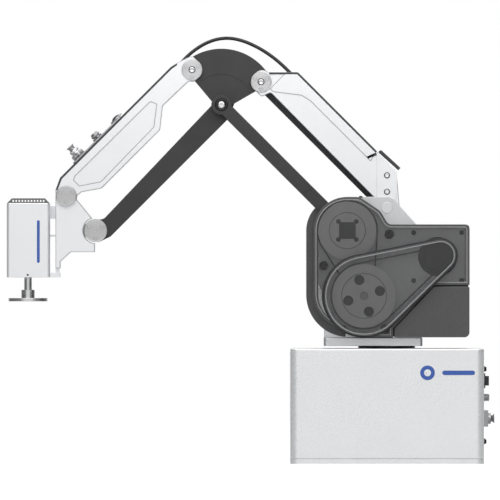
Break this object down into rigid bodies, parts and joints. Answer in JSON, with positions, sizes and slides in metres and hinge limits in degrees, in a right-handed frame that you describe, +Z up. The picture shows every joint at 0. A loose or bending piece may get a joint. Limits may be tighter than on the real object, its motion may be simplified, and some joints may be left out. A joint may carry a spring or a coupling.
{
  "type": "desktop robot arm",
  "caption": "Belt-driven desktop robot arm: square base, turntable, two parallel-link arms with a smoky drive housing, and a turning tool flange.",
  "frame": {"origin": "centre of the base's underside", "axes": "+Z up, +X the way the arm reaches at zero yaw, +Y the arm's left side"},
  "size_m": [0.4799, 0.19, 0.42],
  "materials": {
    "silver_paint": "satin",
    "board_green": "matte",
    "motor_black": "satin",
    "belt_rubber": "matte",
    "black_plastic": "satin",
    "grey_metal": "satin",
    "screw_black": "satin",
    "pulley_metal": "satin",
    "black_metal": "anodised",
    "plate_metal": "brushed",
    "steel": "polished",
    "dark_plastic": "satin",
    "smoky_plastic": "polished translucent",
    "white_plastic": "satin",
    "brushed_disc": "brushed",
    "cable_rubber": "satin"
  },
  "bodies": {
    "base": {"base_housing": "silver_paint", "base_plate": "silver_paint", "control_board": "board_green", "yaw_motor": "motor_black", "yaw_belt": "belt_rubber", "rear_socket": "black_plastic", "data_port": "grey_metal", "air_inlet": "grey_metal", "rear_screws": "screw_black"},
    "yaw_wheel": {"yaw_motor_pulley": "pulley_metal"},
    "inlet_collet": {"air_inlet_collet": "grey_metal"},
    "turret": {"turntable_ring": "black_metal", "turntable_plate": "plate_metal", "yaw_shaft": "plate_metal", "frame_plate_near": "plate_metal", "frame_plate_far": "plate_metal", "frame_bearings": "steel", "frame_posts": "black_metal", "front_cover": "dark_plastic", "side_cover_near": "smoky_plastic", "side_cover_far": "smoky_plastic", "rear_case": "dark_plastic", "motor_cover": "dark_plastic", "shoulder_motor": "motor_black", "elbow_motor": "motor_black", "rear_link_pins": "steel", "shoulder_belts": "belt_rubber", "elbow_belts": "belt_rubber"},
    "shoulder_motor_wheel": {"shoulder_motor_pulley": "black_metal"},
    "shoulder_mid_wheel": {"shoulder_mid_pulley": "pulley_metal"},
    "elbow_motor_wheel": {"elbow_motor_pulley": "black_metal"},
    "elbow_mid_wheel": {"elbow_mid_pulley": "pulley_metal"},
    "lower_arm": {"arm_bar_near": "black_metal", "arm_bar_far": "black_metal", "shoulder_pulley": "pulley_metal", "elbow_shaft": "steel"},
    "crank": {"elbow_pulley": "pulley_metal", "drive_crank": "plate_metal"},
    "bush": {"crank_bush": "steel"},
    "rod": {"drive_rod": "black_metal"},
    "rear_link": {"rear_shell": "white_plastic", "rear_end_plates": "white_plastic", "rear_link_caps": "brushed_disc"},
    "sector": {"elbow_sector": "black_metal", "elbow_cable": "cable_rubber"},
    "forearm": {"forearm_bar_near": "black_metal", "forearm_bar_far": "black_metal", "tail_pin": "steel", "wrist_pins": "brushed_disc"},
    "front_link": {"front_shell": "white_plastic", "front_link_caps": "brushed_disc", "signal_socket": "grey_metal", "tool_air_fitting": "grey_metal"},
    "button": {"teach_button": "black_plastic"},
    "wrist": {"wrist_bracket": "white_plastic", "end_housing": "white_plastic", "vent_cap": "dark_plastic", "wrist_motor": "motor_black"},
    "tool": {"output_shaft": "steel", "tool_flange": "steel"}
  },
  "joints": [
    {"name": "base_yaw", "type": "hinge", "parent": "base", "child": "turret", "pos_m": [0, 0, 0.1129], "axis": [0, 0, 1], "range_deg": [-160, 160]},
    {"name": "yaw_motor_turn", "type": "hinge", "parent": "base", "child": "yaw_wheel", "pos_m": [-0.048, -0.04, 0.082], "axis": [0, 0, 1], "range_deg": [-480, 480]},
    {"name": "inlet_collet_press", "type": "slide", "parent": "base", "child": "inlet_collet", "axis": [1, 0, 0], "range_m": [0, 0.0014], "stiffness_N_per_m": 400, "springref_m": -0.002},
    {"name": "shoulder", "type": "hinge", "parent": "turret", "child": "lower_arm", "pos_m": [0.0389, 0, 0.2288], "axis": [0, 1, 0], "range_deg": [-70, 40]},
    {"name": "shoulder_mid_turn", "type": "hinge", "parent": "turret", "child": "shoulder_mid_wheel", "pos_m": [0.0225, 0, 0.1647], "axis": [0, 1, 0], "range_deg": [-248.5, 142]},
    {"name": "shoulder_motor_turn", "type": "hinge", "parent": "turret", "child": "shoulder_motor_wheel", "pos_m": [-0.05, 0, 0.2032], "axis": [0, 1, 0], "range_deg": [-971, 555]},
    {"name": "rear_link_pivot", "type": "hinge", "parent": "turret", "child": "rear_link", "pos_m": [-0.00007, 0, 0.2513], "axis": [0, 1, 0], "range_deg": [-70, 40]},
    {"name": "sector_pivot", "type": "hinge", "parent": "rear_link", "child": "sector", "pos_m": [0.12367, 0, 0.37504], "axis": [0, 1, 0], "range_deg": [-40, 70], "deforming": ["elbow_cable"]},
    {"name": "elbow", "type": "hinge", "parent": "sector", "child": "forearm", "pos_m": [0.16264, 0, 0.35254], "axis": [0, 1, 0], "range_deg": [-70, 60]},
    {"name": "front_link_pivot", "type": "hinge", "parent": "sector", "child": "front_link", "pos_m": [0.19157, 0, 0.38702], "axis": [0, 1, 0], "range_deg": [-70, 60]},
    {"name": "wrist_pivot", "type": "hinge", "parent": "forearm", "child": "wrist", "pos_m": [0.28639, 0, 0.2288], "axis": [0, 1, 0], "range_deg": [-60, 70]},
    {"name": "crank_pivot", "type": "hinge", "parent": "turret", "child": "crank", "pos_m": [0.0389, 0, 0.2288], "axis": [0, 1, 0], "range_deg": [-70, 60]},
    {"name": "bush_pivot", "type": "hinge", "parent": "crank", "child": "bush", "pos_m": [0.00991, 0, 0.25779], "axis": [0, 1, 0], "range_deg": [-60, 70]},
    {"name": "rod_pivot", "type": "hinge", "parent": "bush", "child": "rod", "pos_m": [0.00991, 0, 0.25779], "axis": [0, 1, 0], "range_deg": [-70, 40]},
    {"name": "elbow_mid_turn", "type": "hinge", "parent": "turret", "child": "elbow_mid_wheel", "pos_m": [0.0225, 0, 0.1647], "axis": [0, 1, 0], "range_deg": [-248.5, 213]},
    {"name": "elbow_motor_turn", "type": "hinge", "parent": "turret", "child": "elbow_motor_wheel", "pos_m": [-0.05, 0, 0.2032], "axis": [0, 1, 0], "range_deg": [-971, 832]},
    {"name": "tool_turn", "type": "hinge", "parent": "wrist", "child": "tool", "pos_m": [0.35319, 0, 0.1591], "axis": [0, 0, 1], "range_deg": [-180, 180]},
    {"name": "teach_press", "type": "slide", "parent": "front_link", "child": "button", "axis": [-0.7071, 0, -0.7071], "range_m": [0, 0.0012], "stiffness_N_per_m": 300, "springref_m": -0.002}
  ],
  "couplings": [
    {"joint": "yaw_motor_turn", "follows": "base_yaw", "ratio": 3},
    {"joint": "shoulder_mid_turn", "follows": "shoulder", "ratio": 3.55},
    {"joint": "shoulder_motor_turn", "follows": "shoulder", "ratio": 13.845},
    {"joint": "rear_link_pivot", "follows": "shoulder", "ratio": 1},
    {"joint": "sector_pivot", "follows": "shoulder", "ratio": -1},
    {"joint": "rod_pivot", "follows": "shoulder", "ratio": 1},
    {"joint": "front_link_pivot", "follows": "elbow", "ratio": 1},
    {"joint": "wrist_pivot", "follows": "elbow", "ratio": -1},
    {"joint": "crank_pivot", "follows": "elbow", "ratio": 1},
    {"joint": "bush_pivot", "follows": "elbow", "ratio": -1},
    {"joint": "elbow_mid_turn", "follows": "elbow", "ratio": 3.55},
    {"joint": "elbow_motor_turn", "follows": "elbow", "ratio": 13.845}
  ]
}
